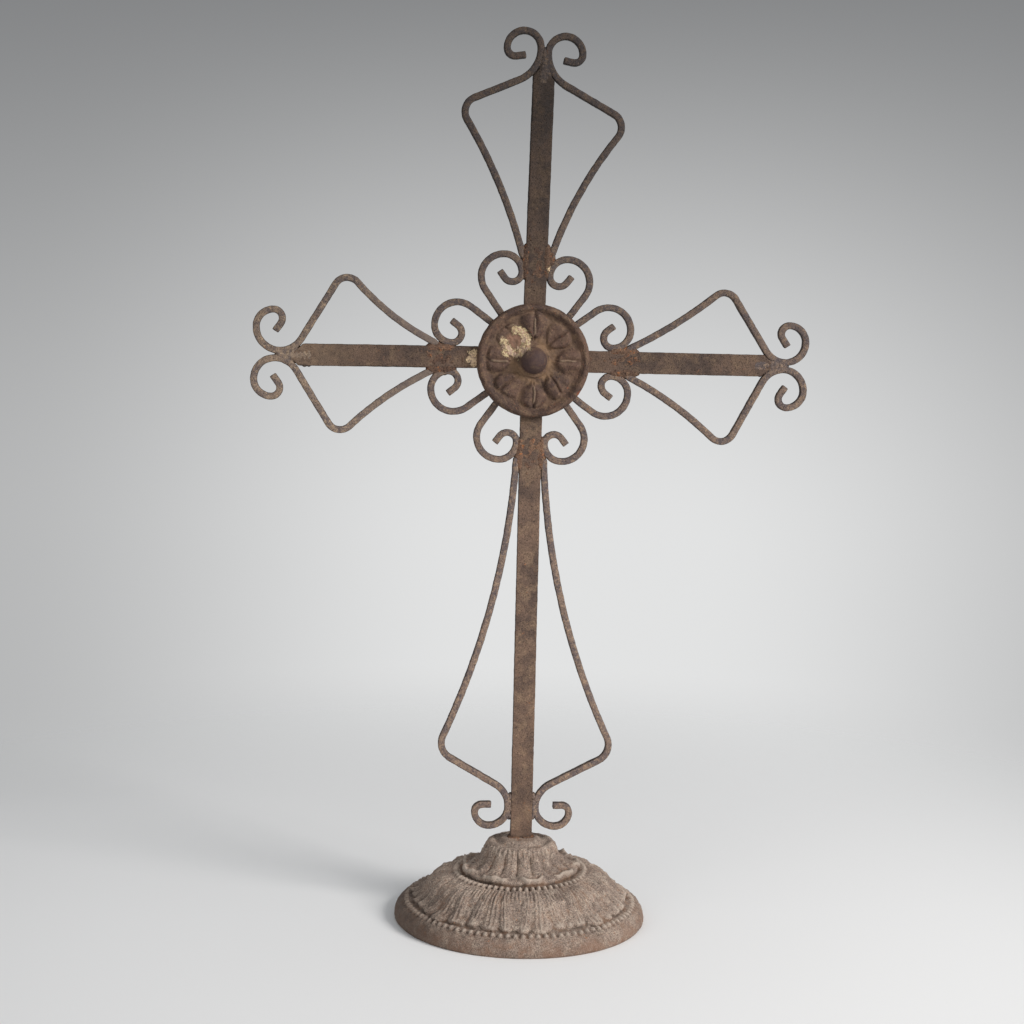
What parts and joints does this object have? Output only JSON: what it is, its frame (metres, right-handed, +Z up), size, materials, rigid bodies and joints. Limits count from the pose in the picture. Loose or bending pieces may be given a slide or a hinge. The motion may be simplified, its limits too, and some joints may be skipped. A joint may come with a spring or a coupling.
{
  "type": "wrought iron cross",
  "caption": "Standing wrought iron cross with bent rod scrollwork on its arms, a round cast rosette at the crossing and a round cast iron foot.",
  "frame": {"origin": "middle of the underside of the foot", "axes": "+Z up, X across the arms with the left arm at -X, the rosette faces -Y"},
  "size_m": [0.4594, 0.21, 0.7337],
  "materials": {
    "wrought_bars": "matt brown rust over dark iron",
    "wrought_rods": "matt brown rust over dark iron",
    "cast_medallion": "matt red-brown rust with a patch of old pale paint",
    "cast_foot": "matt grey-brown patina, rusty at the rim"
  },
  "bodies": {
    "root": {"foot": "cast_foot", "upright": "wrought_bars", "left_bar": "wrought_bars", "right_bar": "wrought_bars", "medallion": "cast_medallion", "shield_top_left": "wrought_rods", "shield_top_right": "wrought_rods", "shield_left_upper": "wrought_rods", "shield_left_lower": "wrought_rods", "shield_right_upper": "wrought_rods", "shield_right_lower": "wrought_rods", "shield_low_left": "wrought_rods", "shield_low_right": "wrought_rods", "scroll_top_left": "wrought_rods", "scroll_top_right": "wrought_rods", "scroll_left_upper": "wrought_rods", "scroll_left_lower": "wrought_rods", "scroll_right_upper": "wrought_rods", "scroll_right_lower": "wrought_rods", "scroll_low_left": "wrought_rods", "scroll_low_right": "wrought_rods"}
  },
  "joints": []
}
